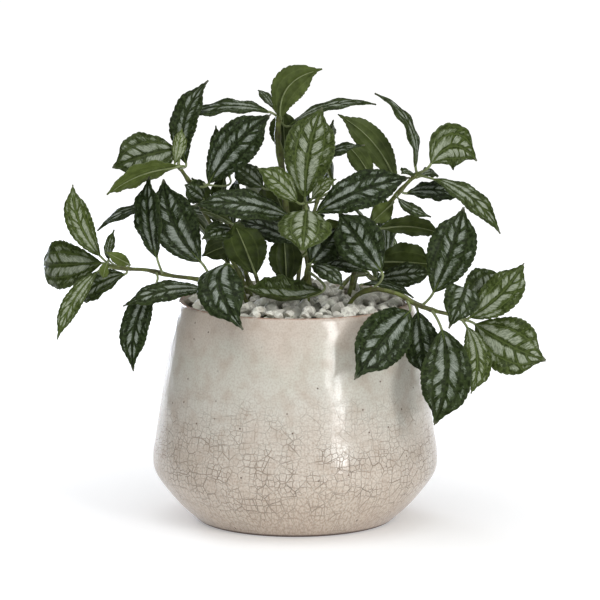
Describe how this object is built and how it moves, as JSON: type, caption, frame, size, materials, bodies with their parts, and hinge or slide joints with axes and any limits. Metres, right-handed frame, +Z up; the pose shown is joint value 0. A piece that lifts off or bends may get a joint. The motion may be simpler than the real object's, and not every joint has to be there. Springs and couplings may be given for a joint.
{
  "type": "potted aluminium plant",
  "caption": "Bushy house plant with silver-patched leaves on arching stems, in a round-bellied glazed pot topped with white gravel.",
  "frame": {"origin": "centre of the flat foot that the pot stands on", "axes": "+Z up along the pot's axis; the best side of the plant looks along -Y, with +X to the viewer's right"},
  "size_m": [0.3549, 0.26, 0.326],
  "materials": {
    "glaze": "gloss",
    "soil": "matte",
    "gravel": "satin",
    "leaf": "satin"
  },
  "bodies": {
    "root": {"pot": "glaze", "soil": "soil", "gravel": "gravel", "shoot_left_low": "leaf", "shoot_left_rim": "leaf", "shoot_upper_left": "leaf", "shoot_top": "leaf", "shoot_centre": "leaf", "shoot_upper_right": "leaf", "shoot_right_back": "leaf", "shoot_right_low": "leaf", "shoot_low_centre": "leaf", "shoot_low_left": "leaf", "shoot_back_left_low": "leaf", "shoot_back_right_low": "leaf", "shoot_back_upper_left": "leaf", "shoot_back_upper_right": "leaf", "shoot_back_middle": "leaf", "shoot_back_centre": "leaf"}
  },
  "joints": []
}
